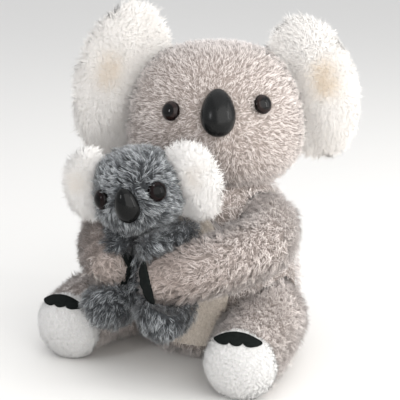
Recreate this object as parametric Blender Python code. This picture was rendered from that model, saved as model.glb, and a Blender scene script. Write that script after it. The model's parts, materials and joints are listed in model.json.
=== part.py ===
# Plush koala that hugs its cub: a sitting stuffed toy, in metres, +Z up, its chest facing -Y.
# Its own left is +X. The floor is z = 0 and the torso's upright axis is x = 0, y = 0.
import math

import bmesh
import bpy
from mathutils import Matrix, Vector

# Seams and clearances
seam_gap = 0.0003
turning_gap = 0.0006
base_cut = 0.0005
cut_overrun = 0.004
facet_angle = math.radians(40)

# Torso
torso_height = 0.134
torso_half_width = 0.061
torso_half_depth = 0.056
torso_sections_share = (
    (0.00, 0.700), (0.02, 0.800), (0.06, 0.880), (0.13, 0.955), (0.24, 1.000), (0.38, 0.995), (0.52, 0.950),
    (0.65, 0.880), (0.77, 0.790), (0.87, 0.660), (0.94, 0.480), (0.98, 0.280), (1.00, 0.000),
)
torso_round_from_share = 0.68

# Cream panel let into the chest and belly
panel_thickness = 0.0022
panel_levels_share = (0.075, 0.80)
panel_half_angle = math.radians(42)

# Head of the mother, which sits sunk over the top of the torso
head_height = 0.105
head_half_width = 0.061
head_half_depth = 0.055
head_sink = 0.026
head_facing = math.radians(32)
head_turns = (math.radians(-45), math.radians(10))
head_sections_share = (
    (0.00, 0.000), (0.02, 0.300), (0.07, 0.560), (0.15, 0.800), (0.25, 0.945), (0.37, 1.000), (0.50, 0.990),
    (0.62, 0.955), (0.74, 0.885), (0.85, 0.775), (0.93, 0.620), (0.98, 0.390), (1.00, 0.000),
)
muzzle_rise = 0.0055
muzzle_share = {"level": 0.57, "tall": 0.22, "wide": 0.55}

# Buttons: eyes and noses with a stem through the plush and a locking washer behind it
eye_radius = 0.0065
eye_rise = 0.0050
eye_sink = 0.0012
nose_half_width = 0.0112
nose_half_height = 0.0158
nose_rise = 0.0115
nose_sink = 0.0030
stem_radius = 0.0018
stem_length = 0.0085
washer_radius = 0.0058
washer_thickness = 0.0016
left_eye_level_share = 0.668
right_eye_level_share = 0.630
eye_angle = math.radians(32.5)
nose_level_share = 0.635
button_profile_share = ((0.00, 0.00), (0.06, 0.36), (0.20, 0.64), (0.42, 0.86), (0.70, 0.98), (1.00, 1.00))

# Ears of the mother: a white front and a grey back, sewn along a straight seam roll on the side of the head
ear_half_width = 0.031
left_ear_half_height = 0.052
right_ear_half_height = 0.056
ear_offset = 0.0115
left_ear_lift = 0.004
right_ear_lift = 0.010
ear_front_thickness = 0.0125
ear_back_thickness = 0.0070
ear_seam_radius = 0.0032
ear_seam_length = 0.040
ear_seam_sink = 0.0012
ear_head_gap = 0.0015
ear_level_share = 0.625
ear_angle = math.radians(97)
ear_root_share = 0.30
ear_ramp_share = 0.55

# Arms of the mother
arm_root_radius = 0.0210
arm_elbow_radius = 0.0205
arm_wrist_radius = 0.0190
arm_hand_radius = 0.0150
arm_tip_length = 0.0100
shoulder_out = 0.0450
shoulder_forward = 0.0060
shoulder_clearance = 0.0022
elbow_out = 0.0570
elbow_forward = 0.0350
left_wrist_out = 0.0390
right_wrist_out = 0.0355
left_hand_out = 0.0155
right_hand_out = 0.0215
left_wrist_drop = 0.0125
right_wrist_drop = 0.0105
left_hand_drop = 0.0185
right_hand_drop = 0.0150
arm_swing = math.radians(40)
arm_swing_steps = 4
hand_swing = math.radians(15)
hand_swing_steps = 5

# Legs of the mother
leg_root_radius = 0.0280
leg_knee_radius = 0.0260
leg_foot_radius = 0.0225
hip_out = 0.0460
hip_forward = 0.0080
left_knee_out = 0.0580
right_knee_out = 0.0690
knee_forward = 0.0460
foot_out = 0.0670
foot_forward = 0.0810
pad_radius = 0.0236
pad_rise = 0.0125
pad_edge = 0.0040

# Felt claws on hands and feet
felt_thickness = 0.0012
claw_lobes = 3
toe_claw_half_angle = math.radians(39)
toe_claw_middle = math.radians(90)
toe_claw_rises = (math.radians(13), math.radians(42))
hand_claw_half_angle = math.radians(70)
left_hand_claw_middle = math.radians(162)
right_hand_claw_middle = math.radians(190)
left_hand_claw_rises = (math.radians(26), math.radians(66))
right_hand_claw_rises = (math.radians(6), math.radians(42))
claw_scallop_share = 0.25
claw_end_share = 0.14

# Cub: body, head and limbs
cub_side = -0.0010
cub_nestle = 0.0030
cub_floor = 0.0340
cub_body_height = 0.078
cub_body_half_width = 0.0245
cub_body_half_depth = 0.0215
cub_body_sections_share = (
    (0.00, 0.000), (0.03, 0.360), (0.10, 0.660), (0.22, 0.900), (0.36, 1.000), (0.52, 0.980), (0.68, 0.890),
    (0.82, 0.730), (0.93, 0.480), (1.00, 0.000),
)
cub_head_height = 0.056
cub_head_half_width = 0.0288
cub_head_half_depth = 0.0275
cub_head_sink = 0.0140
cub_head_shift = -0.0035
cub_head_lean = 0.0050
cub_head_facing = math.radians(20)
cub_head_roll = math.radians(-11)
cub_muzzle_rise = 0.0040
cub_nose_half_width = 0.0078
cub_nose_half_height = 0.0118
cub_nose_rise = 0.0085
cub_nose_sink = 0.0020
cub_nose_level_share = 0.48
cub_eye_level_share = 0.545
cub_eye_angle = math.radians(39)
cub_left_ear_half_width = 0.0180
cub_right_ear_half_width = 0.0165
cub_left_ear_half_height = 0.0270
cub_right_ear_half_height = 0.0245
cub_left_ear_offset = 0.0090
cub_right_ear_offset = 0.0060
cub_left_ear_lift = -0.0040
cub_right_ear_lift = 0.0045
cub_ear_front_thickness = 0.0080
cub_ear_back_thickness = 0.0050
cub_ear_seam_radius = 0.0024
cub_ear_seam_length = 0.0180
cub_ear_seam_sink = 0.0008
cub_ear_head_gap = 0.0012
cub_ear_level_share = 0.56
cub_arm_root_radius = 0.0110
cub_arm_hand_radius = 0.0095
cub_arm_out = 0.0215
cub_arm_reach = 0.0240
cub_arm_level_share = 0.82
cub_arm_drop = 0.0040
cub_hand_out = 0.0120
cub_leg_root_radius = 0.0110
cub_leg_knee_radius = 0.0175
cub_leg_foot_radius = 0.0172
cub_leg_out = 0.0095
cub_leg_height = 0.0240
cub_leg_reach = 0.0250
cub_foot_out = 0.0205
cub_foot_drop = 0.0050

# Facets round each kind of piece
body_sides = 24
limb_sides = 16
ear_sides = 20
small_sides = 12
button_sides = 12
ball_sides = 16
spine_steps = 6
claw_rows = 3
cap_steps = 4


def clear_scene():
    for obj in list(bpy.data.objects):
        bpy.data.objects.remove(obj, do_unlink=True)


def plush_material(name, colour, roughness):
    material = bpy.data.materials.new(name)
    material.use_nodes = True
    shader = material.node_tree.nodes["Principled BSDF"]
    shader.inputs["Base Color"].default_value = (*colour, 1.0)
    shader.inputs["Roughness"].default_value = roughness
    shader.inputs["Metallic"].default_value = 0.0
    material.diffuse_color = (*colour, 1.0)
    return material


def at_share(table, share):
    """The value that a table of (share, value) pairs gives at a share."""
    for (low, before), (high, after) in zip(table, table[1:]):
        if share <= high:
            return before + (after - before) * (share - low) / (high - low)
    return table[-1][1]


def ease(share):
    share = min(1.0, max(0.0, share))
    return share * share * (3 - 2 * share)


def curve_through(values, share):
    """A smooth curve through evenly spaced values, which may be numbers or points."""
    place = share * (len(values) - 1)
    index = min(int(place), len(values) - 2)
    part = place - index
    before = values[index - 1] if index else values[0] * 2 - values[1]
    last = len(values) - 1
    after = values[index + 2] if index + 2 <= last else values[last] * 2 - values[last - 1]
    start, end = values[index], values[index + 1]
    return 0.5 * (
        start * 2
        + (end - before) * part
        + (before * 2 - start * 5 + end * 4 - after) * part**2
        + (start * 3 - before - end * 3 + after) * part**3
    )


def add_object(name, bm, material, parent=None, helper=False):
    bmesh.ops.recalc_face_normals(bm, faces=bm.faces)
    if bm.calc_volume(signed=True) < 0:
        bmesh.ops.reverse_faces(bm, faces=bm.faces)
    mesh = bpy.data.meshes.new(name)
    bm.to_mesh(mesh)
    bm.free()
    mesh.shade_smooth()
    mesh.set_sharp_from_angle(angle=facet_angle)
    obj = bpy.data.objects.new(name, mesh)
    bpy.context.scene.collection.objects.link(obj)
    obj.parent = parent
    if helper:
        obj.hide_render = True
        obj.display_type = "WIRE"
    else:
        mesh.materials.append(material)
    return obj


def add_pivot(name, place, turn=None, parent=None):
    """An empty on a joint's axis, which carries the pieces that move with it."""
    pivot = bpy.data.objects.new(name, None)
    bpy.context.scene.collection.objects.link(pivot)
    pivot.parent = parent
    pivot.matrix_basis = Matrix.Translation(place) @ (turn or Matrix.Identity(4))
    return pivot


def skinned(rings):
    """A closed bmesh over rings of points. A ring of one point is a pole, and an end ring of more gets a flat cap."""
    bm = bmesh.new()
    loops = [[bm.verts.new(point) for point in ring] for ring in rings]
    for low, high in zip(loops, loops[1:]):
        count = max(len(low), len(high))
        for i in range(count):
            j = (i + 1) % count
            if len(low) == 1:
                bm.faces.new((low[0], high[j], high[i]))
            elif len(high) == 1:
                bm.faces.new((low[i], low[j], high[0]))
            else:
                bm.faces.new((low[i], low[j], high[j], high[i]))
    for loop in (loops[0], loops[-1]):
        if len(loop) > 1:
            bm.faces.new(loop)
    return bm


def cut_level(bm, height=0.0):
    """Cuts the underside flat at a height."""
    geometry = bm.verts[:] + bm.edges[:] + bm.faces[:]
    bmesh.ops.bisect_plane(bm, geom=geometry, plane_co=(0, 0, height), plane_no=(0, 0, -1), clear_outer=True)
    bmesh.ops.holes_fill(bm, edges=[edge for edge in bm.edges if edge.is_boundary], sides=0)
    return bm


def boolean(obj, other, operation="DIFFERENCE", solver="EXACT"):
    modifier = obj.modifiers.new(operation.title() + " " + other.name, "BOOLEAN")
    modifier.operation = operation
    modifier.solver = solver
    modifier.object = other
    return obj


class RoundForm:
    """A stuffed form of level rings round its own upright axis, its front at -Y and its foot at z = 0."""

    def __init__(self, height, half_width, half_depth, sections, sides, muzzle=0.0, round_from=None):
        self.height = height
        self.half_width = half_width
        self.half_depth = half_depth
        self.sections = sections
        self.sides = sides
        self.muzzle = muzzle
        self.round_from = round_from

    def radius(self, level, angle):
        across = self.half_width * at_share(self.sections, level)
        along = self.half_depth * at_share(self.sections, level)
        if self.round_from:
            along += (across - along) * ease(level / self.round_from)
        if not across:
            return 0.0
        radius = 1 / math.hypot(math.sin(angle) / across, math.cos(angle) / along)
        turned = (angle + math.pi) % math.tau - math.pi
        tall = (level - muzzle_share["level"]) / muzzle_share["tall"]
        wide = turned / muzzle_share["wide"]
        return radius + self.muzzle * math.exp(-tall * tall - wide * wide)

    def point(self, level, angle, grow=0.0):
        radius = self.radius(level, angle) + grow
        height = level * self.height + grow * (2 * level - 1)
        return Vector((radius * math.sin(angle), -radius * math.cos(angle), height))

    def normal(self, level, angle):
        step = 0.02
        up = self.point(level + step, angle) - self.point(level - step, angle)
        round_ = self.point(level, angle + step) - self.point(level, angle - step)
        return round_.cross(up).normalized()

    def lowest(self, radius, angles):
        """The height of its underside at a distance from its axis."""
        level = self.sections[0][0]
        while max(self.radius(level, angle) for angle in angles) < radius and level < 0.5:
            level += 0.002
        return level * self.height

    def rings(self, grow=0.0, turns=(0.0,), spread=1.0):
        """Its rings, or with turns those of the space that it sweeps as it turns about its axis."""
        rings = []
        for level, share in self.sections:
            height = level * self.height + grow * (2 * level - 1)
            if not share:
                rings.append([Vector((0, 0, height))])
                continue
            ring = []
            for i in range(self.sides):
                angle = math.tau * i / self.sides
                radius = max(self.radius(level, angle - turn) for turn in turns)
                radius = (radius + grow) * spread
                ring.append(Vector((radius * math.sin(angle), -radius * math.cos(angle), height)))
            rings.append(ring)
        return rings


class LimbForm:
    """A stuffed limb: a ball at its root, a body that swells and tapers along a curve, and a rounded or flat tip."""

    def __init__(self, points, radii, tip_length, sides):
        self.points = points
        self.radii = radii
        self.tip_length = tip_length
        self.sides = sides

    def frame(self, share):
        """Place, direction, sideways and upward axes at a share of its length."""
        step = 0.01
        before = curve_through(self.points, max(0.0, share - step))
        after = curve_through(self.points, min(1.0, share + step))
        along = (after - before).normalized()
        side = along.cross(Vector((0, 0, 1))).normalized()
        return curve_through(self.points, share), along, side, side.cross(along)

    def ring(self, centre, side, up, radius):
        angles = [math.tau * i / self.sides for i in range(self.sides)]
        return [centre + side * radius * math.cos(a) + up * radius * math.sin(a) for a in angles]

    def tip_point(self, angle, rise, grow=0.0):
        """A point on the rounded tip: angle goes round it from its side axis and rise from its rim to its pole."""
        centre, along, side, up = self.frame(1.0)
        radius = (self.radii[-1] + grow) * math.cos(rise)
        out = (self.tip_length + grow) * math.sin(rise)
        return centre + along * out + (side * math.cos(angle) + up * math.sin(angle)) * radius

    def rings(self, grow=0.0):
        rings = []
        centre, along, side, up = self.frame(0.0)
        root = self.radii[0] + grow
        rings.append([centre - along * root])
        for i in range(1, cap_steps):
            turn = math.pi / 2 * i / cap_steps
            rings.append(self.ring(centre - along * root * math.cos(turn), side, up, root * math.sin(turn)))
        for i in range(spine_steps + 1):
            share = i / spine_steps
            centre, along, side, up = self.frame(share)
            rings.append(self.ring(centre, side, up, curve_through(self.radii, share) + grow))
        if not self.tip_length:
            return rings
        for i in range(1, cap_steps):
            turn = math.pi / 2 * i / cap_steps
            out = centre + along * (self.tip_length + grow) * math.sin(turn)
            rings.append(self.ring(out, side, up, (self.radii[-1] + grow) * math.cos(turn)))
        rings.append([centre + along * (self.tip_length + grow)])
        return rings


def patch(point_at, columns, rows, inner, outer):
    """A closed sheet over a surface: point_at(column share, row share, grow) gives its points."""
    bm = bmesh.new()
    grids = []
    for grow in (inner, outer):
        grid = [
            [bm.verts.new(point_at(i / columns, j / rows, grow)) for j in range(rows + 1)]
            for i in range(columns + 1)
        ]
        grids.append(grid)
        for i in range(columns):
            for j in range(rows):
                bm.faces.new((grid[i][j], grid[i + 1][j], grid[i + 1][j + 1], grid[i][j + 1]))
    low, high = grids
    rim = [(i, 0) for i in range(columns)] + [(columns, j) for j in range(rows)]
    rim += [(i, rows) for i in range(columns, 0, -1)] + [(0, j) for j in range(rows, 0, -1)]
    for (a, b), (c, d) in zip(rim, rim[1:] + rim[:1]):
        bm.faces.new((low[a][b], low[c][d], high[c][d], high[a][b]))
    return bm


def oval_patch(form, levels, half_angle, inner, outer, margin=0.0):
    """An oval panel on the front of a round form, its edge moved out by a margin."""
    low, high = levels
    tall = margin / form.height
    wide = margin / form.half_depth

    def point_at(column, row, grow):
        level = low - tall + (high - low + 2 * tall) * row
        bulge = 0.35 + 0.65 * math.sin(math.pi * (0.08 + 0.84 * row)) ** 0.7
        angle = (half_angle + wide) * bulge * (2 * column - 1)
        return form.point(level, angle, grow)

    return patch(point_at, 8, 10, inner, outer)


def claw_patch(limb, middle, half_angle, rises):
    """A felt strip with shallow rounded claws and slim ends, over the tip of a limb between two rises."""
    inner_rise, outer_rise = rises

    def point_at(column, row, grow):
        across = 2 * column - 1
        lobe = abs(math.sin(math.pi * claw_lobes * column)) ** 0.6
        slim = claw_end_share + (1 - claw_end_share) * math.sqrt(1 - across**2)
        deep = (outer_rise - inner_rise) * slim * (1 - claw_scallop_share * (1 - lobe))
        return limb.tip_point(middle + half_angle * across, inner_rise + deep * row, grow)

    return patch(point_at, 6 * claw_lobes, claw_rows, seam_gap, seam_gap + felt_thickness)


def turned(profile, sides):
    """Rings of a profile of (height, radius) pairs turned about +Z."""
    rings = []
    for height, radius in profile:
        if not radius:
            rings.append([Vector((0, 0, height))])
            continue
        angles = [math.tau * i / sides for i in range(sides)]
        rings.append([Vector((radius * math.cos(a), radius * math.sin(a), height)) for a in angles])
    return rings


def button_rings(half_width, half_height, rise, sink, grow=0.0):
    """A domed button along +Z whose widest rim lies a sink below z = 0, with its stem behind it."""
    rings = []
    for down, wide in button_profile_share:
        height = rise + grow - (rise + sink + grow) * down
        if not wide:
            rings.append([Vector((0, 0, height))])
            continue
        across, along = (half_width + grow) * wide, (half_height + grow) * wide
        angles = [math.tau * i / button_sides for i in range(button_sides)]
        rings.append([Vector((across * math.cos(a), along * math.sin(a), height)) for a in angles])
    back = -sink - grow
    stem = turned(((back, stem_radius + grow), (-sink - stem_length - grow, stem_radius + grow)), button_sides)
    rings.append([point.copy() for point in rings[-1]])
    for point in rings[-1]:
        point.z = back
    return rings[:-1] + stem


def washer_place(sink):
    return -sink - stem_length + 2 * washer_thickness


def add_button(name, material, washer_material, head, pivot, surface, half_width, half_height, rise, sink):
    """A button with its stem and washer, and their seat cut into the head."""
    place, normal = surface
    across = Vector((0, 0, 1)).cross(normal).normalized()
    basis = Matrix((across, normal.cross(across), normal)).transposed().to_4x4()
    frame = Matrix.Translation(place) @ basis

    def placed(obj):
        obj.matrix_basis = frame
        return obj

    placed(add_object(name, skinned(button_rings(half_width, half_height, rise, sink)), material, pivot))
    top = washer_place(sink)
    hole = stem_radius + seam_gap
    ring = [(top, hole), (top, washer_radius), (top - washer_thickness, washer_radius)]
    ring.append((top - washer_thickness, hole))
    loops = turned(ring, button_sides)
    placed(add_object(name + "_washer", closed_ring(loops), washer_material, pivot))
    grown = button_rings(half_width, half_height, rise, sink, seam_gap)
    seat = placed(add_object(name + "_seat", skinned(grown), None, pivot, helper=True))
    boolean(head, seat)
    wide = washer_radius + seam_gap
    pocket = turned(((top + seam_gap, wide), (top - washer_thickness - seam_gap, wide)), button_sides)
    boolean(head, placed(add_object(name + "_pocket", skinned(pocket), None, pivot, helper=True)))


def closed_ring(loops):
    """A ring-shaped solid over loops that join back to the first."""
    bm = bmesh.new()
    rows = [[bm.verts.new(point) for point in loop] for loop in loops]
    for low, high in zip(rows, rows[1:] + rows[:1]):
        for i in range(len(low)):
            j = (i + 1) % len(low)
            bm.faces.new((low[i], low[j], high[j], high[i]))
    return bm


def ear_half_rings(sizes, side, face):
    """Rings from the middle of one face of an ear to its rim, thin along its root, with a flat back."""
    thickness = sizes["front"] if face < 0 else sizes["back"]
    rings = []
    for share in (0.0, 0.30, 0.55, 0.76, 0.92, 1.0):
        ring = []
        for i in range(ear_sides if share else 1):
            angle = math.tau * i / ear_sides
            out = sizes["offset"] + sizes["half_width"] * share * math.cos(angle)
            up = sizes["lift"] + sizes["half_height"] * share * math.sin(angle)
            ramp = ease(out / (sizes["half_width"] * ear_ramp_share))
            thin = ear_root_share + (1 - ear_root_share) * ramp
            depth = 0.5 * seam_gap + thickness * math.sqrt(max(0.0, 1 - share**2.6)) * thin
            ring.append(Vector((side * out, face * depth, up)))
        rings.append(ring)
    return rings


def half_roll_rings(radius, half_length, face):
    """A half cylinder along the seam, its flat just behind the flat of its half of the ear."""
    turns = [math.pi * i / small_sides for i in range(small_sides + 1)]
    flat = seam_gap
    ends = []
    for height in (-half_length, half_length):
        ends.append([
            Vector((radius * math.cos(turn), face * (flat + (radius - flat) * math.sin(turn)), height))
            for turn in turns
        ])
    return ends


def add_ear(name, side, head, form, pivot, sizes, front_material, back_material):
    """An ear in two halves on a seam roll that lies in a groove of the head."""
    level = sizes["level"]
    angle = side * ear_angle
    root = form.point(level, angle)
    step = 0.5 * sizes["seam_length"] / form.height
    up = form.point(level + step, angle) - form.point(level - step, angle)
    up = Vector((up.x, 0, up.z)).normalized()
    out = Vector((side * up.z, 0, -side * up.x))
    root -= out * sizes["sink"]
    frame = Matrix((out * side, up.cross(out * side), up)).transposed().to_4x4()
    hinge = add_pivot(name + "_fold", root, frame, pivot)
    room = add_object(name + "_head_room", skinned(form.rings(sizes["gap"])), None, pivot, helper=True)
    half = 0.5 * sizes["seam_length"]
    for part, face, material in (("front", -1, front_material), ("back", 1, back_material)):
        piece = add_object(f"{name}_{part}", skinned(ear_half_rings(sizes, side, face)), material, hinge)
        boolean(piece, room, solver="MANIFOLD")
        roll = skinned(half_roll_rings(sizes["seam_radius"], half, face))
        boolean(piece, add_object(f"{name}_{part}_roll", roll, None, hinge, helper=True), "UNION", "MANIFOLD")
    groove_radius = (sizes["seam_radius"] + turning_gap) / math.cos(math.pi / small_sides)
    groove_half = half + turning_gap
    groove = turned(((-groove_half, groove_radius), (groove_half, groove_radius)), small_sides)
    boolean(head, add_object(name + "_groove", skinned(groove), None, hinge, helper=True))
    return hinge


def ball(name, place, radius, spread=1.0):
    """A ball with its corners at the radius times a spread."""
    bm = bmesh.new()
    bmesh.ops.create_uvsphere(bm, u_segments=ball_sides, v_segments=ball_sides // 2, radius=radius * spread)
    bmesh.ops.translate(bm, verts=bm.verts, vec=place)
    return add_object(name, bm, None, helper=True)


clear_scene()
grey_plush = plush_material("grey_plush", (0.56, 0.50, 0.47), 0.95)
cream_plush = plush_material("cream_plush", (0.66, 0.58, 0.49), 0.95)
white_plush = plush_material("white_plush", (0.87, 0.86, 0.84), 0.95)
ear_back_plush = plush_material("ear_back_plush", (0.46, 0.42, 0.40), 0.95)
cub_plush = plush_material("cub_plush", (0.11, 0.12, 0.135), 0.95)
cub_white_plush = plush_material("cub_white_plush", (0.70, 0.71, 0.71), 0.95)
black_felt = plush_material("black_felt", (0.012, 0.015, 0.014), 0.9)
eye_plastic = plush_material("eye_plastic", (0.02, 0.012, 0.008), 0.12)
nose_plastic = plush_material("nose_plastic", (0.022, 0.022, 0.023), 0.4)
washer_plastic = plush_material("washer_plastic", (0.75, 0.75, 0.73), 0.5)

# Forms that several pieces share
torso_form = RoundForm(
    torso_height, torso_half_width, torso_half_depth, torso_sections_share, body_sides,
    round_from=torso_round_from_share,
)
head_form = RoundForm(
    head_height, head_half_width, head_half_depth, head_sections_share, body_sides, muzzle=muzzle_rise
)
cub_form = RoundForm(
    cub_body_height, cub_body_half_width, cub_body_half_depth, cub_body_sections_share, limb_sides
)
cub_head_form = RoundForm(
    cub_head_height, cub_head_half_width, cub_head_half_depth, head_sections_share, limb_sides + 4,
    muzzle=cub_muzzle_rise,
)
head_base = torso_height - head_sink
swept_turns = [head_turns[0] + (head_turns[1] - head_turns[0]) * i / 11 for i in range(12)]
all_round = [math.tau * i / 24 for i in range(24)]

# Limbs of the mother, from the seat that the head leaves for the shoulders and the floor for the feet
shoulder_radius = math.hypot(shoulder_out, shoulder_forward)
head_floor = head_base + head_form.lowest(shoulder_radius - 0.5 * arm_root_radius, all_round)
shoulder_height = head_floor - shoulder_clearance - arm_root_radius
cub_front = torso_half_depth + 2 * cub_body_half_depth - cub_nestle
wrist_forward = 0.5 * (elbow_forward + cub_front) + 0.25 * cub_body_half_depth + arm_wrist_radius * 0.5
hand_forward = cub_front + 0.25 * arm_hand_radius
arms = {}
legs = {}
for side in (-1, 1):
    shoulder = Vector((side * shoulder_out, -shoulder_forward, shoulder_height))
    wrist_drop = left_wrist_drop if side > 0 else right_wrist_drop
    wrist_out = left_wrist_out if side > 0 else right_wrist_out
    hand_drop = left_hand_drop if side > 0 else right_hand_drop
    hand_out = left_hand_out if side > 0 else right_hand_out
    elbow = Vector((side * elbow_out, -elbow_forward, shoulder_height - 0.4 * wrist_drop))
    wrist = Vector((side * wrist_out, -wrist_forward, shoulder_height - wrist_drop))
    hand = Vector((side * hand_out, -hand_forward, shoulder_height - hand_drop))
    arms[side] = LimbForm(
        [shoulder, elbow, wrist, hand],
        [arm_root_radius, arm_elbow_radius, arm_wrist_radius, arm_hand_radius],
        arm_tip_length, limb_sides,
    )
    hip = Vector((side * hip_out, -hip_forward, leg_root_radius - base_cut))
    knee_out = left_knee_out if side > 0 else right_knee_out
    knee = Vector((side * knee_out, -knee_forward, leg_knee_radius - base_cut))
    foot = Vector((side * foot_out, -foot_forward, pad_radius - base_cut))
    legs[side] = LimbForm([hip, knee, foot], [leg_root_radius, leg_knee_radius, leg_foot_radius], 0.0, limb_sides)


def opened_arms(name, side, grow, reach, steps):
    """The spaces round an arm as it swings open in steps."""
    rooms = []
    for i in range(1, steps + 1):
        bm = skinned(arms[side].rings(grow))
        matrix = Matrix.Rotation(side * reach * i / steps, 3, "Z")
        bmesh.ops.rotate(bm, verts=bm.verts, cent=arms[side].points[0], matrix=matrix)
        rooms.append(add_object(f"{name}_{i}", bm, None, helper=True))
    return rooms


# Torso with its sockets and the shallow recess of the belly panel
torso = add_object("torso", cut_level(skinned(torso_form.rings())), grey_plush)
panel_inner = -panel_thickness
panel = oval_patch(torso_form, panel_levels_share, panel_half_angle, panel_inner, -seam_gap)
add_object("belly_panel", panel, cream_plush)
recess = oval_patch(
    torso_form, panel_levels_share, panel_half_angle, panel_inner - seam_gap, cut_overrun, margin=seam_gap
)
boolean(torso, add_object("panel_recess", recess, None, helper=True))
socket_spread = 1 / math.cos(math.pi / ball_sides) ** 2
limb_room = add_object("limb_room", skinned(torso_form.rings(seam_gap)), None, helper=True)
for side, word in ((-1, "right"), (1, "left")):
    for limb, name in ((arms[side], "shoulder"), (legs[side], "hip")):
        centre, radius = limb.points[0], limb.radii[0]
        boolean(torso, ball(f"{word}_{name}_socket", centre, radius + turning_gap, socket_spread))
        boolean(limb_room, ball(f"{word}_{name}_room", centre, radius + 0.5 * turning_gap))
    for room in opened_arms(f"{word}_arm_past_torso", side, turning_gap, arm_swing, arm_swing_steps):
        boolean(torso, room)


def add_limb(name, limb, material, joint, cutters, level=False):
    """A limb on an empty at its joint, cut by what it lies against."""
    pivot = add_pivot(joint, limb.points[0])
    bm = skinned(limb.rings())
    if level:
        cut_level(bm)
    bmesh.ops.translate(bm, verts=bm.verts, vec=-limb.points[0])
    piece = add_object(name, bm, material, pivot)
    for cutter in cutters:
        boolean(piece, cutter)
    return pivot


def add_on_limb(name, bm, material, pivot):
    bmesh.ops.translate(bm, verts=bm.verts, vec=-pivot.location)
    return add_object(name, bm, material, pivot)


def hand_claws(side):
    """The felt strip on the end of a hand."""
    rises = left_hand_claw_rises if side > 0 else right_hand_claw_rises
    middle = left_hand_claw_middle if side > 0 else right_hand_claw_middle
    return claw_patch(arms[side], middle, hand_claw_half_angle, rises)


# Arms and legs of the mother
for side, word in ((-1, "right"), (1, "left")):
    arm = arms[side]
    pivot = add_limb(f"{word}_arm", arm, grey_plush, f"{word}_arm_swing", [limb_room])
    add_on_limb(f"{word}_hand_claws", hand_claws(side), black_felt, pivot)

    leg = legs[side]
    pivot = add_limb(f"{word}_leg", leg, grey_plush, f"{word}_leg_spread", [limb_room], level=True)
    centre, along, across, up = leg.frame(1.0)
    sole = LimbForm([centre + along * seam_gap, centre + along * (seam_gap + pad_edge)], [pad_radius] * 2,
                    pad_rise, limb_sides)
    rings = sole.rings()[cap_steps:]
    add_on_limb(f"{word}_foot_pad", cut_level(skinned(rings)), white_plush, pivot)
    claws = claw_patch(sole, toe_claw_middle, toe_claw_half_angle, toe_claw_rises)
    add_on_limb(f"{word}_toe_claws", claws, black_felt, pivot)

# Head of the mother
head_pivot = add_pivot("head_turn", Vector((0, 0, head_base)), Matrix.Rotation(head_facing, 4, "Z"))
head = add_object("head", skinned(head_form.rings()), grey_plush, head_pivot)
neck_spread = 1 / math.cos(math.pi / body_sides)
neck_room = add_object("neck_room", skinned(torso_form.rings(turning_gap, spread=neck_spread)), None, helper=True)
boolean(head, neck_room)


def surface(form, level, angle):
    return form.point(level, angle), form.normal(level, angle)


for side, word, level in ((-1, "right", right_eye_level_share), (1, "left", left_eye_level_share)):
    add_button(
        f"{word}_eye", eye_plastic, washer_plastic, head, head_pivot,
        surface(head_form, level, side * eye_angle), eye_radius, eye_radius, eye_rise, eye_sink,
    )
add_button(
    "nose", nose_plastic, washer_plastic, head, head_pivot,
    surface(head_form, nose_level_share, 0.0), nose_half_width, nose_half_height, nose_rise, nose_sink,
)
ear_sizes = {
    "half_width": ear_half_width,
    "offset": ear_offset,
    "front": ear_front_thickness,
    "back": ear_back_thickness,
    "seam_radius": ear_seam_radius,
    "seam_length": ear_seam_length,
    "sink": ear_seam_sink,
    "gap": ear_head_gap,
    "level": ear_level_share,
}
for side, word, tall, lift in (
    (-1, "right", right_ear_half_height, right_ear_lift),
    (1, "left", left_ear_half_height, left_ear_lift),
):
    own = {**ear_sizes, "half_height": tall, "lift": lift}
    add_ear(f"{word}_ear", side, head, head_form, head_pivot, own, white_plush, ear_back_plush)

# Cub: its body stands against the belly panel, between the arms
cub_place = Vector((cub_side, -(torso_half_depth + cub_body_half_depth - cub_nestle), cub_floor))
cub_room = add_object("torso_room", skinned(torso_form.rings(seam_gap, spread=neck_spread)), None, helper=True)
sweep = add_object("head_sweep", skinned(head_form.rings(turning_gap, swept_turns)), None, helper=True)
sweep.matrix_basis = Matrix.Translation((0, 0, head_base)) @ Matrix.Rotation(head_facing, 4, "Z")
hug_gap = felt_thickness + 2 * turning_gap
hug_room = [
    add_object(f"{word}_arm_room", skinned(arms[side].rings(hug_gap)), None, helper=True)
    for side, word in ((-1, "right"), (1, "left"))
]


cub_body = add_object("cub_body", skinned(cub_form.rings()), cub_plush)
cub_body.location = cub_place
boolean(cub_body, cub_room)

# Head of the cub, in a hollow of its body
cub_head_place = cub_place + Vector((cub_head_shift, -cub_head_lean, cub_body_height - cub_head_sink))
cub_head_turn = Matrix.Rotation(cub_head_facing, 4, "Z") @ Matrix.Rotation(cub_head_roll, 4, "Y")
cub_head_pivot = add_pivot("cub_head_seat", cub_head_place, cub_head_turn)
cub_head = add_object("cub_head", skinned(cub_head_form.rings()), cub_plush, cub_head_pivot)
boolean(cub_head, sweep)
cub_head_room = add_object(
    "cub_head_room", skinned(cub_head_form.rings(seam_gap)), None, cub_head_pivot, helper=True
)
boolean(cub_body, cub_head_room)
for side, word in ((-1, "right"), (1, "left")):
    add_button(
        f"cub_{word}_eye", eye_plastic, washer_plastic, cub_head, cub_head_pivot,
        surface(cub_head_form, cub_eye_level_share, side * cub_eye_angle), eye_radius, eye_radius, eye_rise,
        eye_sink,
    )
add_button(
    "cub_nose", nose_plastic, washer_plastic, cub_head, cub_head_pivot,
    surface(cub_head_form, cub_nose_level_share, 0.0), cub_nose_half_width, cub_nose_half_height,
    cub_nose_rise, cub_nose_sink,
)
cub_ear_sizes = {
    "front": cub_ear_front_thickness,
    "back": cub_ear_back_thickness,
    "seam_radius": cub_ear_seam_radius,
    "seam_length": cub_ear_seam_length,
    "sink": cub_ear_seam_sink,
    "gap": cub_ear_head_gap,
    "level": cub_ear_level_share,
}
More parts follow.
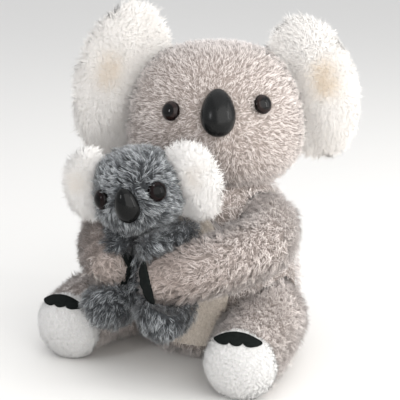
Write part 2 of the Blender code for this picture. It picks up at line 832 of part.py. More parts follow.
cub_ear_shapes = {
    "right": (-1, cub_right_ear_half_width, cub_right_ear_half_height, cub_right_ear_offset, cub_right_ear_lift),
    "left": (1, cub_left_ear_half_width, cub_left_ear_half_height, cub_left_ear_offset, cub_left_ear_lift),
}
for word, (side, wide, tall, offset, lift) in cub_ear_shapes.items():
    own = {**cub_ear_sizes, "half_width": wide, "half_height": tall, "offset": offset, "lift": lift}
    add_ear(f"cub_{word}_ear", side, cub_head, cub_head_form, cub_head_pivot, own, cub_white_plush, cub_plush)

# Limbs of the cub, which lie on and under the arms that hold it
cub_bodied = [
    add_object("cub_body_room", skinned(cub_form.rings(seam_gap)), None, helper=True), cub_head_room, cub_room,
]
cub_bodied[0].location = cub_place
cub_arm_height = cub_arm_level_share * cub_body_height
for side, word in ((-1, "right"), (1, "left")):
    shoulder = cub_place + Vector((side * cub_arm_out, 0, cub_arm_height))
    hand = cub_place + Vector((side * cub_hand_out, -cub_arm_reach, cub_arm_height - cub_arm_drop))
    middle = (shoulder + hand) * 0.5 + Vector((side * 0.3 * cub_arm_root_radius, 0, 0))
    limb = LimbForm(
        [shoulder, middle, hand], [cub_arm_root_radius, cub_arm_root_radius, cub_arm_hand_radius],
        cub_arm_hand_radius, small_sides,
    )
    arm = add_object(f"cub_{word}_arm", skinned(limb.rings()), cub_plush)
    for cutter in cub_bodied + hug_room:
        boolean(arm, cutter, solver="MANIFOLD")
    hip = cub_place + Vector((side * cub_leg_out, 0, cub_leg_height))
    foot = cub_place + Vector((side * cub_foot_out, -cub_leg_reach, cub_leg_height - cub_foot_drop))
    knee = (hip + foot) * 0.5 + Vector((side * 0.2 * cub_leg_knee_radius, 0, 0))
    limb = LimbForm(
        [hip, knee, foot], [cub_leg_root_radius, cub_leg_knee_radius, cub_leg_foot_radius],
        cub_leg_foot_radius, small_sides,
    )
    leg = add_object(f"cub_{word}_leg", skinned(limb.rings()), cub_plush)
    opened = opened_arms(f"{word}_arm_past_cub", side, hug_gap, hand_swing, hand_swing_steps)
    for cutter in cub_bodied[:1] + hug_room + opened:
        boolean(leg, cutter, solver="MANIFOLD")
for room in hug_room:
    boolean(cub_body, room)
bpy.context.view_layer.update()
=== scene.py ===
# Plush koala that hugs its cub: skins, fur, eyes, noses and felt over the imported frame
import json
import math

import bpy
import numpy as np
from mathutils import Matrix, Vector
from mathutils.bvhtree import BVHTree
from mathutils.kdtree import KDTree


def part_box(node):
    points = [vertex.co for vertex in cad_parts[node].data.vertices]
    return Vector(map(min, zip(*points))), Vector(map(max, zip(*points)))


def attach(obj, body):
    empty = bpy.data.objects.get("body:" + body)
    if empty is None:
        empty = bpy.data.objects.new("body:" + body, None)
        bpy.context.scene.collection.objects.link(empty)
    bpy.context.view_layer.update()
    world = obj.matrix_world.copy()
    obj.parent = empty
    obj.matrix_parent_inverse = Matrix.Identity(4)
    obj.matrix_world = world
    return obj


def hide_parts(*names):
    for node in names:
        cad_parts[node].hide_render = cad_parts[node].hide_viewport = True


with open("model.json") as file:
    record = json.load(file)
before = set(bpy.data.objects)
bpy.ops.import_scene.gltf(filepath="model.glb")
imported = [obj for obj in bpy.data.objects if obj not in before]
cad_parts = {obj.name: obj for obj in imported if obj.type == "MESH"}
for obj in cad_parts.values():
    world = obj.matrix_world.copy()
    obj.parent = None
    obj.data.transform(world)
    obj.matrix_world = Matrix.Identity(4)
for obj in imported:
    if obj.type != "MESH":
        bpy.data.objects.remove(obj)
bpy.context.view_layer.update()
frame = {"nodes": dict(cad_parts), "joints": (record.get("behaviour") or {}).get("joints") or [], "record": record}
nodes = frame["nodes"]
bodyOfNode = {node: body for body, held in frame["record"]["behaviour"]["bodies"].items() for node in held}
joints = {joint["name"]: joint for joint in frame["joints"]}
print("frame loaded,", len(nodes), "nodes")

# camera, from the side that the photo was taken
view = {
    "target": (-0.009, -0.0054, 0.102),
    "turn": math.radians(31),
    "rise": math.radians(15),
    "distance": 0.85,
    "lens": 109.26,
    "sensor": 36,
    "nearest": 0.01,
}


def addCamera():
    data = bpy.data.cameras.new("camera")
    data.lens = view["lens"]
    data.sensor_width = view["sensor"]
    data.clip_start = view["nearest"]
    camera = bpy.data.objects.new("camera", data)
    bpy.context.scene.collection.objects.link(camera)
    flat = math.cos(view["rise"])
    back = Vector((math.sin(view["turn"]) * flat, -math.cos(view["turn"]) * flat, math.sin(view["rise"])))
    camera.location = Vector(view["target"]) + back * view["distance"]
    camera.rotation_euler = (-back).to_track_quat("-Z", "Y").to_euler()
    bpy.context.scene.camera = camera


addCamera()


# shader maths: a socket that adds Math nodes as it is worked with
class Sock:
    def __init__(self, shader, socket):
        self.shader = shader
        self.socket = socket

    def math(self, operation, other):
        return self.shader.node("ShaderNodeMath", {"operation": operation}, [self, other])

    def __add__(self, other):
        return self.math("ADD", other)

    __radd__ = __add__

    def __mul__(self, other):
        return self.math("MULTIPLY", other)

    __rmul__ = __mul__


class Finish:
    # one material, its Principled shader and what feeds it
    def __init__(self, name, **values):
        self.material = bpy.data.materials.new(name)
        self.material.use_nodes = True
        self.tree = self.material.node_tree
        self.shader = self.tree.nodes["Principled BSDF"]
        for socket, value in values.items():
            self.shader.inputs[socket.replace("_", " ")].default_value = value

    def node(self, kind, settings=None, inputs=(), output=0):
        made = self.tree.nodes.new(kind)
        for name, value in (settings or {}).items():
            if name == "stops":
                self.setStops(made.color_ramp, value)
            else:
                setattr(made, name, value)
        pairs = inputs.items() if isinstance(inputs, dict) else enumerate(inputs)
        for key, value in pairs:
            if isinstance(value, Sock):
                self.tree.links.new(value.socket, made.inputs[key])
            else:
                made.inputs[key].default_value = value
        return Sock(self, made.outputs[output])

    def setStops(self, ramp, stops):
        while len(ramp.elements) < len(stops):
            ramp.elements.new(0.5)
        for element, (place, colour) in zip(ramp.elements, stops):
            element.position = place
            element.color = (*colour, 1.0)

    def ramp(self, factor, stops):
        return self.node("ShaderNodeValToRGB", {"stops": stops}, [factor])

    def noise(self, size, detail=2.0):
        place = self.node("ShaderNodeTexCoord", output=3)  # Object coordinates
        return self.node("ShaderNodeTexNoise", {}, {"Vector": place, "Scale": 1 / size, "Detail": detail})

    def mix(self, factor, before, after):
        # 6, 7 and output 2 are the Mix node's colour sockets
        return self.node("ShaderNodeMix", {"data_type": "RGBA"}, {0: factor, 6: before, 7: after}, output=2)

    def feed(self, socket, value):
        self.tree.links.new(value.socket, self.shader.inputs[socket])

    def bump(self, height, strength, distance):
        inputs = {"Height": height, "Strength": strength, "Distance": distance}
        self.feed("Normal", self.node("ShaderNodeBump", {}, inputs))


def furFinish(name, dark, light, sheen=0.25):
    # strand colours from root to tip, for the darkest and the lightest strands
    finish = Finish(name, Roughness=0.75, Sheen_Weight=sheen, Sheen_Roughness=0.5, Specular_IOR_Level=0.25)
    place = finish.node("ShaderNodeUVMap", {"uv_map": "OFBake"})
    tone = finish.node("ShaderNodeSeparateXYZ", {}, [place])
    along = Sock(finish, tone.socket.node.outputs[1])
    finish.feed("Base Color", finish.mix(tone, finish.ramp(along, dark), finish.ramp(along, light)))
    return finish.material


backing = {"grain": 0.0016, "detail": 3.0, "lowStop": 0.3, "highStop": 0.7, "bump": 0.6, "depth": 0.001}


def skinFinish(name, low, high):
    # backing cloth seen between strands
    finish = Finish(name, Roughness=0.95, Sheen_Weight=0.2)
    grain = finish.noise(backing["grain"], backing["detail"])
    finish.feed("Base Color", finish.ramp(grain, [(backing["lowStop"], low), (backing["highStop"], high)]))
    finish.bump(grain, backing["bump"], backing["depth"])
    return finish.material


def deselectAll():
    bpy.ops.object.select_all(action="DESELECT")


def pick(obj):
    deselectAll()
    obj.select_set(True)
    bpy.context.view_layer.objects.active = obj


def applyAll(obj):
    pick(obj)
    for modifier in list(obj.modifiers):
        bpy.ops.object.modifier_apply(modifier=modifier.name)


def shadeSmooth(obj):
    pick(obj)
    bpy.ops.object.shade_smooth()


def points(mesh):
    values = np.empty(len(mesh.vertices) * 3, np.float32)
    mesh.vertices.foreach_get("co", values)
    return values.reshape(-1, 3).astype(float)


def normals(mesh):
    values = np.empty(len(mesh.vertices) * 3, np.float32)
    mesh.vertex_normals.foreach_get("vector", values)
    return values.reshape(-1, 3).astype(float)


def setPoints(mesh, values):
    mesh.vertices.foreach_set("co", values.astype(np.float32).ravel())
    mesh.update()


def unit(vectors):
    return vectors / np.maximum(np.linalg.norm(vectors, axis=-1, keepdims=True), 1e-9)


def ease(share):
    share = np.clip(share, 0, 1)
    return share * share * (3 - 2 * share)


def middleOf(node):
    low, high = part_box(node)
    return np.array((low + high) / 2)


sameCorner = 0.00002  # a CAD node is loose triangles, whose corners a copy merges


def copyOf(node, name):
    obj = bpy.data.objects.new(name, nodes[node].data.copy())
    obj.data.materials.clear()
    bpy.context.scene.collection.objects.link(obj)
    pick(obj)
    bpy.ops.object.mode_set(mode="EDIT")
    bpy.ops.mesh.select_all(action="SELECT")
    bpy.ops.mesh.remove_doubles(threshold=sameCorner)
    bpy.ops.mesh.customdata_custom_splitnormals_clear()
    bpy.ops.object.mode_set(mode="OBJECT")
    return obj


def treeOf(names):
    # one search tree over the CAD surfaces of several nodes
    corners, faces = [], []
    for name in names:
        mesh = nodes[name].data
        mesh.calc_loop_triangles()
        start = len(corners)
        corners += [vertex.co.copy() for vertex in mesh.vertices]
        faces += [[start + i for i in triangle.vertices] for triangle in mesh.loop_triangles]
    return BVHTree.FromPolygons(corners, faces)


# washers hide inside the heads, and fur lies round felt and plastic, not through them
hidden = [name for name in nodes if name.endswith("washer")]
firm = [name for name in nodes if name.endswith(("_claws", "_eye", "nose"))]
firmTree = treeOf(firm)
motherTree = treeOf([name for name in firm if not name.startswith("cub")])
firmBoxes = [[np.array(corner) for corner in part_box(name)] for name in firm]


def neighboursOf(node, leftOut):
    return treeOf([name for name in nodes if name != node and name not in hidden and name not in leftOut])


def roomAbove(tree, places, directions, reach):
    # how far each point can go before it meets a neighbour
    room = np.full(len(places), reach)
    for i, (place, direction) in enumerate(zip(places, directions)):
        hit = tree.ray_cast(Vector(place), Vector(direction), reach)
        if hit[0] is not None:
            room[i] = hit[3]
    return room


waves = {"count": 5, "pace": 1.6, "strength": 2.2}


def swirl(places, size, seed):
    # a smooth vector field without a pattern, of about unit strength
    rng = np.random.default_rng(seed)
    field = np.zeros((len(places), 3))
    for _ in range(waves["count"]):
        wave = rng.normal(size=3) / size * waves["pace"]
        field += rng.normal(size=3) * np.sin(places @ wave + rng.uniform(0, math.tau))[:, None]
    return field / waves["strength"]


# a strand bows: its lower and upper half lean by these shares of its lean, to a last angle at most
bow = {"lower": 0.5, "upper": 1.35, "most": math.radians(96)}


def heightShare(coat):
    # how high a strand stands over its root, as a share of its length
    return 0.5 * (math.cos(coat["lean"] * bow["lower"]) + math.cos(coat["lean"] * bow["upper"]))


# sewn cloth under the pile: it sinks by part of the pile where it is free, and less beside a neighbour
cloth = {
    "smoothing": 6, "smoothBy": 0.5, "gap": 0.0004, "reach": 3, "spread": 1.2, "overFloor": 0.0003,
    "fill": 0.8,
}


def makeSkin(name, coat):
    node = coat["node"]
    skin = copyOf(node, name)
    if coat["voxel"]:
        remesh = skin.modifiers.new("remesh", "REMESH")
        remesh.mode = "VOXEL"
        remesh.voxel_size = coat["voxel"]
        smooth = skin.modifiers.new("smooth", "SMOOTH")
        smooth.iterations = cloth["smoothing"]
        smooth.factor = cloth["smoothBy"]
    else:
        rounded = skin.modifiers.new("rounded", "SUBSURF")
        rounded.levels = rounded.render_levels = 1
    applyAll(skin)
    shadeSmooth(skin)
    mesh = skin.data
    places, directions = points(mesh), normals(mesh)
    if coat["shape"]:
        setPoints(mesh, coat["shape"](places))
    else:
        sink = coat["pile"] * heightShare(coat) * coat["sinkShare"]
        tree = neighboursOf(node, coat["leftOut"])
        room = roomAbove(tree, places, directions, cloth["reach"] * sink)
        depth = sink * ease((room - cloth["gap"]) / (cloth["spread"] * sink)) + cloth["gap"]
        places -= directions * depth[:, None]
        places[:, 2] = np.maximum(places[:, 2], cloth["overFloor"])
        setPoints(mesh, places)
    mesh.materials.append(coat["skin"])
    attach(skin, bodyOfNode[node])
    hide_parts(node)
    return skin


def scatter(mesh, count, rng, densityAt):
    # random points over a mesh, with their normals
    mesh.calc_loop_triangles()
    faces = np.empty(len(mesh.loop_triangles) * 3, np.int32)
    mesh.loop_triangles.foreach_get("vertices", faces)
    faces = faces.reshape(-1, 3)
    corners, directions = points(mesh), normals(mesh)
    a, b, c = (corners[faces[:, i]] for i in range(3))
    areas = 0.5 * np.linalg.norm(np.cross(b - a, c - a), axis=1)
    if densityAt:
        areas = areas * densityAt((a + b + c) / 3)
    chosen = rng.choice(len(faces), count, p=areas / areas.sum())
    first, second = rng.random(count), rng.random(count)
    over = first + second > 1
    first[over], second[over] = 1 - first[over], 1 - second[over]
    shares = np.stack([1 - first - second, first, second], 1)
    places = np.einsum("nk,nkd->nd", shares, corners[faces[chosen]])
    return places, unit(np.einsum("nk,nkd->nd", shares, directions[faces[chosen]]))


# how strands differ, as shares of what their coat says, and the room that they need, in metres
strand = {
    "lengthSpread": 0.12, "shortest": 0.6, "longest": 1.4, "longestTuft": 1.5,
    "reach": 3, "clearance": 0.0012, "leastFree": 0.02, "crampedShare": 0.4, "fewestInTuft": 3,
    "tuftRuffle": 0.7, "ownRuffle": 0.5, "tuftLean": 0.18, "ownLean": 0.12, "leastLean": 0.3, "mostLean": 1.6,
    "headroom": 0.0006, "leastHeight": 0.05, "tipGather": 0.25, "middleGather": 0.7, "middlePinch": 0.5,
    "rootDepth": 0.0004, "thinnest": 0.7, "thickest": 1.25, "thickness": 0.2,
    "overFloor": (0.0003, 0.0006, 0.0008), "overFloorSpread": (0.7, 1.6),
    "leastOverFloor": 0.0002 + 0.0001 * np.array([0, 0, 0, 1, 2]), "toneRange": (0.02, 0.98),
    "swirlSeed": 7, "driftSeed": 11, "firstSeed": 100,
}


def plantRoots(mesh, coat, tree, rng):
    # where strands stand, which way is out, how long they are and how much room they have
    count = coat["strands"]
    root, out = scatter(mesh, count, rng, coat["densityAt"])
    if coat["barred"] is not None:
        out = unit(out - np.outer(np.maximum(out @ coat["barred"], 0), coat["barred"]))
    pile = coat["pile"] * (coat["lengthAt"](root) if coat["lengthAt"] else 1.0)
    pile = pile * rng.normal(1, strand["lengthSpread"], count).clip(strand["shortest"], strand["longest"])
    room = roomAbove(tree, root, out, strand["reach"] * coat["pile"])
    free = ease((room - strand["clearance"]) / coat["pile"])
    kept = (free > strand["leastFree"]) | (rng.random(count) < strand["crampedShare"])
    kept &= ~besideFirm(root)
    return root[kept], out[kept], pile[kept], room[kept]


def findTufts(root, coat, area):
    # strands gather in tufts round the first few roots, one for each patch of cloth
    tufts = max(1, int(area / coat["tuft"] ** 2))
    tufts = min(tufts, len(root) // strand["fewestInTuft"])
    finder = KDTree(tufts)
    for i in range(tufts):
        finder.insert(Vector(root[i]), i)
    finder.balance()
    own = np.fromiter((finder.find(Vector(place))[1] for place in root), np.int64, len(root))
    return tufts, own


def combLay(root, out, tufts, own, coat, rng):
    # the way that each strand lies over the cloth
    lay = coat["lay"](root, out)
    lay = lay / np.maximum(np.linalg.norm(lay, axis=1, keepdims=True), 1)
    lay = lay + coat["swirl"] * swirl(root, coat["swirlSize"], coat["seed"] + strand["swirlSeed"])
    tuftRuffle = strand["tuftRuffle"] * rng.normal(size=(tufts, 3))[own]
    lay += coat["ruffle"] * (tuftRuffle + strand["ownRuffle"] * rng.normal(size=(len(root), 3)))
    return unit(lay - out * (lay * out).sum(1, keepdims=True))


def bowStrands(root, out, lay, lean, pile, room, own, coat, rng):
    # the middle and the tip of each strand
    def towards(share):
        angle = np.minimum(lean * share, bow["most"])
        return out * np.cos(angle)[:, None] + lay * np.sin(angle)[:, None]

    limit = (room - strand["headroom"]) / np.maximum(pile * heightShare(coat), 1e-6)
    limit = np.clip(limit, strand["leastHeight"], 1)[:, None]
    half = (pile * 0.5)[:, None]
    middle = root + flatten(towards(bow["lower"]), out, limit) * half
    tip = middle + flatten(towards(bow["upper"]), out, limit) * half
    tip += (tip[own] + (root - root[own]) * strand["tipGather"] - tip) * coat["pinch"]
    gathered = middle[own] + (root - root[own]) * strand["middleGather"]
    middle += (gathered - middle) * coat["pinch"] * strand["middlePinch"]
    bend = rng.normal(size=(len(root), 1)) * coat["bend"] * pile[:, None]
    middle += np.cross(lay, out) * bend
    return middle, tip


def flatten(directions, out, limit):
    # takes away what a neighbour leaves no height for
    height = (directions * out).sum(1, keepdims=True)
    return directions - out * height * (1 - limit)


# how the pile keeps off what it meets, in metres, and how felt and plastic cut it short
keepOff = {
    "touching": 0.0002, "gap": 0.0003, "nearFirm": 0.012, "firmGap": 0.0004, "leastShare": 0.05, "stub": 0.2,
    "coneReach": 0.008, "cone": 0.7, "trims": 8, "trim": 0.72, "beside": 0.002, "bare": 0.0013,
}


def combAside(tree, tips, reach):
    # a tip that would end in a neighbour lies along its surface
    moved = tips.copy()
    for i, tip in enumerate(tips):
        place, normal = tree.find_nearest(Vector(tip), reach)[:2]
        if place is not None and (Vector(tip) - place).dot(normal) < keepOff["touching"]:
            moved[i] = place + normal * keepOff["gap"]
    return moved


def stopShort(root, middle, tip, out):
    # a strand ends in front of felt or plastic, and none lies over it
    for i in np.nonzero(nearFirm(root, keepOff["nearFirm"]))[0]:
        for start, end in ((root, middle), (middle, tip)):
            way = Vector(end[i] - start[i])
            hit = firmTree.ray_cast(Vector(start[i]), way, way.length)
            if hit[0] is not None:
                share = max(keepOff["leastShare"], (hit[3] - keepOff["firmGap"]) / way.length)
                end[i] = start[i] + (end[i] - start[i]) * share
                if end is middle:
                    tip[i] = middle[i] + (middle[i] - root[i]) * keepOff["stub"]
                break
        for _ in range(keepOff["trims"]):
            if not any(overFirm(place, out[i]) for place in (middle[i], (middle[i] + tip[i]) / 2, tip[i])):
                break
            tip[i] = root[i] + (tip[i] - root[i]) * keepOff["trim"]
            middle[i] = root[i] + (middle[i] - root[i]) * keepOff["trim"]
    return middle, tip


def overFirm(place, out):
    # whether a point stands over the mother's felt or plastic
    near = motherTree.find_nearest(Vector(place), keepOff["coneReach"])[0]
    if near is None:
        return False
    gap = place - np.array(near)
    return gap @ out > keepOff["cone"] * np.linalg.norm(gap)


def besideFirm(root):
    # roots so near to the mother's felt or plastic that the cloth there is bare
    beside = nearFirm(root, keepOff["beside"])
    for i in np.nonzero(beside)[0]:
        beside[i] = motherTree.find_nearest(Vector(root[i]), keepOff["bare"])[0] is not None
    return beside


def nearFirm(places, reach):
    # a first, quick choice of points by boxes
    near = np.zeros(len(places), bool)
    for low, high in firmBoxes:
        near |= ((places > low - reach) & (places < high + reach)).all(1)
    return near


def makeCorners(root, middle, tip, out, coat, rng):
    # a strand is a closed spindle: a root, three corners round its middle and a tip
    along = unit(tip - root)
    side = unit(np.cross(along, out))
    inner = unit(np.cross(side, along))
    width = coat["width"] * rng.uniform(strand["thinnest"], strand["thickest"], (len(root), 1))
    left, right = middle - side * width * 0.5, middle + side * width * 0.5
    under = middle - inner * width * strand["thickness"]
    corners = np.stack([root - out * strand["rootDepth"], left, right, under, tip], 1)
    corners[:, :, 2] = np.maximum(corners[:, :, 2], strand["leastOverFloor"])
    return corners


def growFur(name, skin, coat):
    rng = np.random.default_rng(coat["seed"])
    tree = neighboursOf(coat["node"], coat["leftOut"])
    root, out, pile, room = plantRoots(skin.data, coat, tree, rng)
    count = len(root)

    # tufts, which share their lay and length
    tufts, own = findTufts(root, coat, meshArea(skin))
    tuftRandom = rng.normal(size=(tufts, 3))
    tuftLength = 1 + strand["lengthSpread"] * tuftRandom[own, 0]
    pile = pile * tuftLength.clip(strand["shortest"], strand["longestTuft"])
    lay = combLay(root, out, tufts, own, coat, rng)
    lean = 1 + strand["tuftLean"] * tuftRandom[own, 1] + strand["ownLean"] * rng.normal(size=count)
    lean = coat["lean"] * lean.clip(strand["leastLean"], strand["mostLean"])
    if coat["leanAt"]:
        lean = lean * coat["leanAt"](root)

    middle, tip = bowStrands(root, out, lay, lean, pile, room, own, coat, rng)
    tip = combAside(tree, tip, coat["pile"])
    middle, tip = stopShort(root, middle, tip, out)
    for place, least in zip((root, middle, tip), strand["overFloor"]):
        place[:, 2] = np.maximum(place[:, 2], least * rng.uniform(*strand["overFloorSpread"], count))
    corners = makeCorners(root, middle, tip, out, coat, rng)

    tone = coat["tone"](root) if callable(coat["tone"]) else coat["tone"]
    drift = swirl(root, coat["driftSize"], coat["seed"] + strand["driftSeed"])[:, 0]
    tone = tone + coat["toneDrift"] * drift
    tone = tone + coat["toneTuft"] * tuftRandom[own, 2] + coat["toneStrand"] * rng.normal(size=count)
    furMesh(name, corners, np.clip(tone, *strand["toneRange"]), out, coat)


# a strand's faces, and where its corners lie on the map that carries tone across and root to tip upwards
spindle = {
    "faces": np.array([[1, 2, 4], [2, 3, 4], [3, 1, 4], [2, 1, 0], [3, 2, 0], [1, 3, 0]]),
    "across": np.array([0, -1, 1, 0, 0]) * 0.006,
    "up": np.array([0.02, 0.5, 0.5, 0.5, 0.98]),
}


def furMesh(name, corners, tone, out, coat):
    count, each = corners.shape[:2]
    faces = (np.arange(count)[:, None, None] * each + spindle["faces"][None]).reshape(-1, 3)
    mesh = bpy.data.meshes.new(name)
    mesh.vertices.add(count * each)
    mesh.vertices.foreach_set("co", corners.astype(np.float32).ravel())
    mesh.loops.add(faces.size)
    mesh.loops.foreach_set("vertex_index", faces.astype(np.int32).ravel())
    mesh.polygons.add(len(faces))
    mesh.polygons.foreach_set("loop_start", np.arange(0, faces.size, 3, dtype=np.int32))
    mesh.update(calc_edges=True)
    places = np.empty((count, each, 2))
    places[:, :, 0] = tone[:, None] + spindle["across"]
    places[:, :, 1] = spindle["up"]
    layer = mesh.uv_layers.new(name="OFBake")
    layer.data.foreach_set("uv", places.reshape(-1, 2)[faces.ravel()].astype(np.float32).ravel())
    mesh.polygons.foreach_set("use_smooth", np.ones(len(faces), bool))

    # strands are lit as the cloth under them is, and turn a little round their own middle
    spread = corners - corners[:, 1:4].mean(1)[:, None]
    spread[:, 0] = spread[:, 4] = 0
    soft = unit(out[:, None] + coat["roundness"] * unit(spread) * (spread != 0).any(2, keepdims=True))
    mesh.normals_split_custom_set_from_vertices(soft.reshape(-1, 3).astype(np.float32))
    fur = bpy.data.objects.new(name, mesh)
    bpy.context.scene.collection.objects.link(fur)
    mesh.materials.append(coat["fur"])
    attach(fur, bodyOfNode[coat["node"]])


def meshArea(obj):
    return sum(polygon.area for polygon in obj.data.polygons)


# finishes of the pile, root to tip, and of the cloth under it
finishes = {
    "greyFur": furFinish(
        "grey_fur",
        [(0.1, (0.14, 0.11, 0.095)), (0.55, (0.27, 0.22, 0.195)), (0.95, (0.46, 0.385, 0.35))],
        [(0.1, (0.40, 0.345, 0.315)), (0.5, (0.73, 0.66, 0.625)), (0.9, (0.94, 0.88, 0.85))],
    ),
    "creamFur": furFinish(
        "cream_fur",
        [(0.1, (0.50, 0.43, 0.36)), (0.9, (0.72, 0.64, 0.55))],
        [(0.1, (0.60, 0.54, 0.47)), (0.9, (0.88, 0.81, 0.73))],
    ),
    # tan strands give the ears their warmth and paint the shade in their crease; the white strands' roots are
    # painted brighter than their tips, painted light that fills the shade between strands
    "whiteFur": furFinish(
        "white_fur",
        [(0.1, (0.56, 0.45, 0.34)), (0.9, (0.72, 0.60, 0.46))],
        [(0.1, (0.97, 0.96, 0.945)), (0.5, (0.84, 0.83, 0.815)), (0.9, (0.74, 0.73, 0.72))],
        0.15,
    ),
    "earBackFur": furFinish(
        "ear_back_fur",
        [(0.1, (0.09, 0.075, 0.068)), (0.9, (0.30, 0.265, 0.245))],
        [(0.1, (0.30, 0.265, 0.245)), (0.9, (0.80, 0.76, 0.73))],
    ),
    "cubFur": furFinish(
        "cub_fur",
        [(0.1, (0.006, 0.007, 0.008)), (0.6, (0.016, 0.018, 0.021)), (0.95, (0.045, 0.050, 0.056))],
        [(0.1, (0.020, 0.022, 0.025)), (0.45, (0.14, 0.152, 0.168)), (0.85, (0.66, 0.69, 0.70))],
    ),
    "greySkin": skinFinish("grey_backing", (0.18, 0.15, 0.13), (0.33, 0.28, 0.255)),
    "creamSkin": skinFinish("cream_backing", (0.50, 0.43, 0.36), (0.68, 0.61, 0.53)),
    # roots painted brighter than tips: painted light that fills the shade between strands
    "padFur": furFinish(
        "pad_fur",
        [(0.1, (0.56, 0.45, 0.34)), (0.9, (0.72, 0.60, 0.46))],
        [(0.1, (0.98, 0.98, 0.97)), (0.5, (0.80, 0.80, 0.795)), (0.9, (0.66, 0.66, 0.66))],
        0.15,
    ),
    "whiteSkin": skinFinish("white_backing", (0.95, 0.935, 0.91), (0.97, 0.96, 0.945)),
    "earBackSkin": skinFinish("ear_back_backing", (0.08, 0.07, 0.06), (0.20, 0.17, 0.155)),
    "cubSkin": skinFinish("cub_backing", (0.008, 0.009, 0.010), (0.03, 0.033, 0.037)),
}

# ways that the pile lies: each gives a direction for every root
down = np.array([0.0, 0.0, -1.0])
forward = np.array([0.0, -1.0, 0.0])
aside = np.array([1.0, 0.0, 0.0])


def awayFrom(place, sag):
    return lambda root, out: unit(root - place) + sag * down


def toward(place, sag=0.2):
    return lambda root, out: unit(place - root) + sag * down


def fallDown(root, out):
    return down + 0 * root


def fallForward(root, out):
    return down + 0.7 * forward + 0 * root


fringe = {"size": 0.016, "start": 0.3, "sag": 0.2, "part": 1.3, "parting": 0.003}


def partedFringe(place):
    # away from the nose, and over the forehead to either side
    def lay(root, out):
        away = root - place
        above = ease((away[:, 2:] - fringe["start"] * fringe["size"]) / fringe["size"])
        sideways = fringe["part"] * above * away[:, :1] / (np.abs(away[:, :1]) + fringe["parting"]) * aside
        return unit(away) + fringe["sag"] * down + sideways

    return lay


# ways that tone and length change over a piece
def paler(mark, size, much, usual):
    # a patch of paler or darker strands round a place
    return lambda root: usual + much * np.exp(-(((root - mark) / size) ** 2).sum(1))


# painted light and shade along the arms: pale strands at the shoulder, dark ones at the hand
armShading = {"hand": 0.04, "more": 0.9, "start": 0.01, "reach": 0.112}
chest = {"from": 0.085, "over": 0.03}


def shadedHand(claws):
    # an arm grows darker from its shoulder to its hand: painted light where the window falls on the shoulder and
    # painted shade at the hands held round the cub
    place = middleOf(claws)

    def tone(root):
        share = ease((np.linalg.norm(root - place, axis=1) - armShading["start"]) / armShading["reach"])
        return armShading["hand"] + armShading["more"] * share

    return tone


def upwards(low, more):
    # grows from the belly to the chest
    return lambda root: low + more * ease((root[:, 2] - chest["from"]) / chest["over"])


# coats of fur: lengths in metres, lean in radians, the rest as shares
base = {
    "voxel": 0.0026, "sinkShare": 0.5, "lean": 0.88, "width": 0.00038, "tuft": 0.0032, "pinch": 0.4,
    "swirl": 0.45, "swirlSize": 0.020, "ruffle": 0.35, "bend": 0.05, "tone": 0.5, "toneTuft": 0.10,
    "toneStrand": 0.17, "toneDrift": 0.08, "driftSize": 0.03, "roundness": 0.5, "leftOut": (),
    "shape": None, "densityAt": None, "lengthAt": None, "leanAt": None, "barred": None,
}
grey = {**base, "fur": finishes["greyFur"], "skin": finishes["greySkin"], "tone": 0.6}
cub = {
    **base, "fur": finishes["cubFur"], "skin": finishes["cubSkin"], "voxel": 0.0018, "pile": 0.0080,
    "tuft": 0.0026, "width": 0.00028, "lean": 0.95, "swirl": 0.7, "swirlSize": 0.012, "ruffle": 0.5,
    "tone": 0.42, "toneTuft": 0.18, "toneStrand": 0.32, "toneDrift": 0.12, "driftSize": 0.012,
}
headCoat = {
    **grey, "lean": 0.75, "tuft": 0.0015, "pinch": 0.15, "width": 0.00026, "ruffle": 1.0, "roundness": 0.35,
    "tone": 0.70,
}
limbCoat = {
    **grey, "pile": 0.0080, "strands": 19500, "ruffle": 0.7, "tuft": 0.0021, "pinch": 0.22, "width": 0.00031,
    "roundness": 0.4, "tone": 0.40,
}
legCoat = {**limbCoat, "tone": 0.66}
padCoat = {
    **base, "fur": finishes["padFur"], "skin": finishes["whiteSkin"], "voxel": 0, "pile": 0.0038,
    "lean": 1.2, "tuft": 0.0008, "pinch": 0.0, "width": 0.00030, "ruffle": 1.1, "tone": 0.93,
    "toneTuft": 0.01, "toneStrand": 0.03, "toneDrift": 0.01, "strands": 17500, "roundness": 0.0,
}
cubLeg = {**cub, "strands": 7500, "lay": fallForward, "tone": 0.29}
chestMark = middleOf("cub_body") + np.array([0.002, -0.022, 0.022])
mittMark = middleOf("cub_right_arm") + np.array([0.004, -0.008, -0.002])
